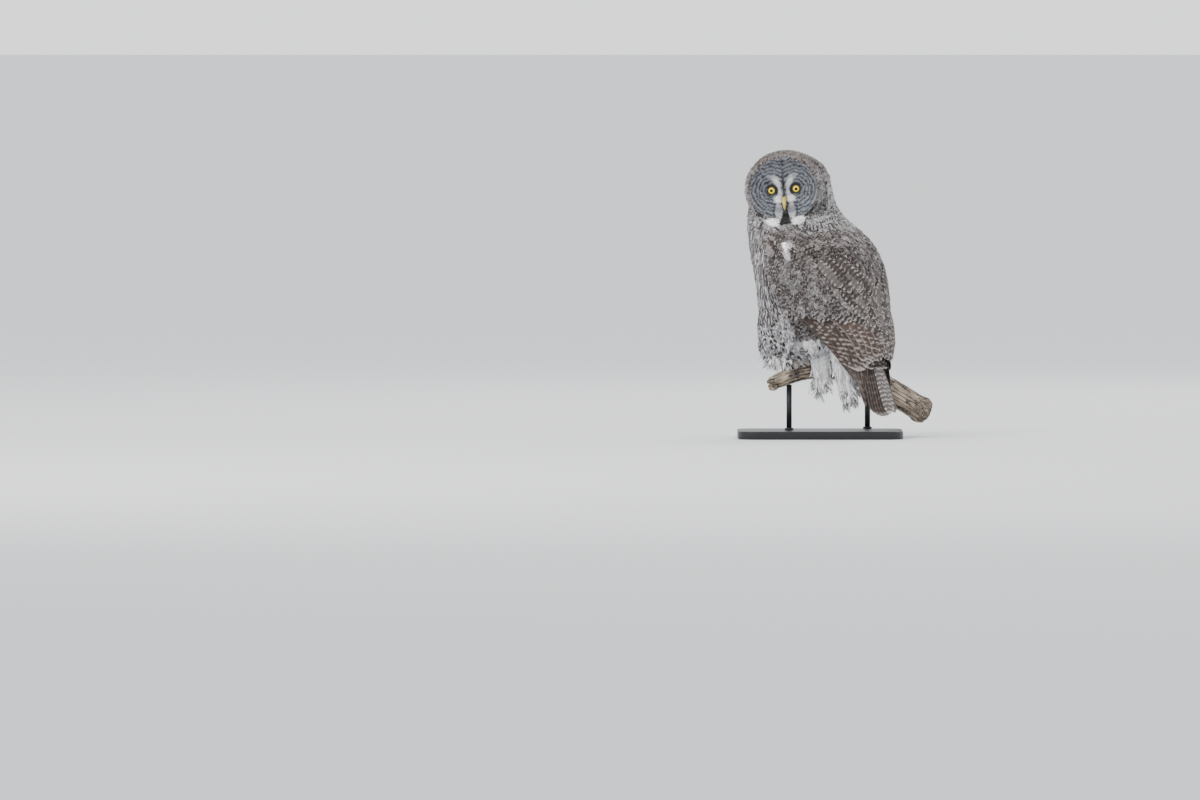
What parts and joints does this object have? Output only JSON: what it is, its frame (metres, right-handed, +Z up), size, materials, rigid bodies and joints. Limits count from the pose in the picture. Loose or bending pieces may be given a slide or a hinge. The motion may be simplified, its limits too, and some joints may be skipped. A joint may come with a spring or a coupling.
{
  "type": "great grey owl",
  "caption": "Great grey owl perched on a cut length of dead branch, looking over its left shoulder, on a plain flat stand with rods.",
  "frame": {"origin": "centre of the stand base's underside, on the floor", "axes": "+Z up; the picture looks along +Y with +X to its right, so the owl's face looks along -Y"},
  "size_m": [0.393, 0.2956, 0.5741],
  "materials": {
    "plumage_head": "soft barred feathers",
    "plumage_body": "soft streaked feathers",
    "flight_feathers": "barred vanes",
    "tail_feathers": "mottled vanes",
    "leg_down": "short down",
    "foot_skin": "feathered toes",
    "bill": "smooth horn",
    "eye": "glass eye",
    "claw": "black horn",
    "branch_wood": "weathered, patches of dark bark",
    "stand_black": "satin black"
  },
  "bodies": {
    "root": {"head": "plumage_head", "neck": "plumage_body", "torso": "plumage_body", "wing_left": "flight_feathers", "wing_right": "flight_feathers", "tail": "tail_feathers", "bill_upper": "bill", "bill_lower": "bill", "eye_left": "eye", "eye_right": "eye", "leg_left": "leg_down", "leg_right": "leg_down", "foot_left": "foot_skin", "foot_right": "foot_skin", "perch_branch": "branch_wood", "stand_base": "stand_black", "stand_rod_1": "stand_black", "stand_rod_2": "stand_black", "claw_left_1": "claw", "claw_left_2": "claw", "claw_left_3": "claw", "claw_left_4": "claw", "claw_right_1": "claw", "claw_right_2": "claw", "claw_right_3": "claw", "claw_right_4": "claw"}
  },
  "joints": []
}
